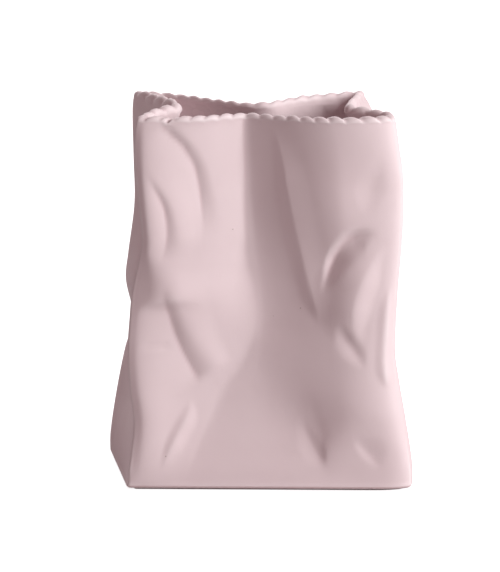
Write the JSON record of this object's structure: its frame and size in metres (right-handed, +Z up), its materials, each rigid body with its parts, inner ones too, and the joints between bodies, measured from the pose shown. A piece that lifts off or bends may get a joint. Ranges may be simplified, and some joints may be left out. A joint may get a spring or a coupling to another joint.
{
  "type": "paper bag vase",
  "caption": "Matt pink porcelain flower vase in the form of a crumpled paper bag, with tucked-in gusset sides, a dented mouth and a pinked, toothed rim.",
  "frame": {"origin": "middle of the vase's box, on the flat underside of the foot", "axes": "+Z up, -Y out of the broad front face, +X to the right as seen from the front"},
  "size_m": [0.177, 0.096, 0.2211],
  "materials": {
    "bisque_body": "matt unglazed pale pink porcelain outside, thin clear glaze inside"
  },
  "bodies": {
    "root": {"front_panel": "bisque_body", "right_gusset_front": "bisque_body", "right_gusset_back": "bisque_body", "back_panel": "bisque_body", "left_gusset_back": "bisque_body", "left_gusset_front": "bisque_body", "base_slab": "bisque_body"}
  },
  "joints": []
}
